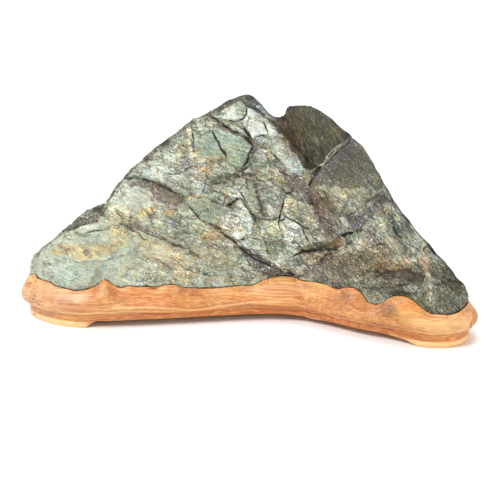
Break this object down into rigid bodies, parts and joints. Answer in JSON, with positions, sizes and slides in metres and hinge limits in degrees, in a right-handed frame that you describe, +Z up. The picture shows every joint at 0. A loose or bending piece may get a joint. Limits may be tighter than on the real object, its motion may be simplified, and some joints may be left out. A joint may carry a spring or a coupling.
{
  "type": "suiseki",
  "caption": "A mountain-shaped green suiseki stone with a notched summit, resting in a carved golden-brown wooden daiza with a flowing rim and low feet",
  "frame": {"origin": "centre of the bounding box on the surface that the stand's feet rest on", "axes": "+X along the stand, with the lower end of the ridge at -X and the steep end at +X; +Z up; the stone's front faces -Y"},
  "size_m": [0.3638, 0.1176, 0.1746],
  "materials": {
    "green_stone": null,
    "stand_wood": "golden orange-brown hardwood, carved from one block, with a thin satin lacquer"
  },
  "bodies": {
    "root": {"stone": "green_stone", "daiza": "stand_wood"}
  },
  "joints": []
}
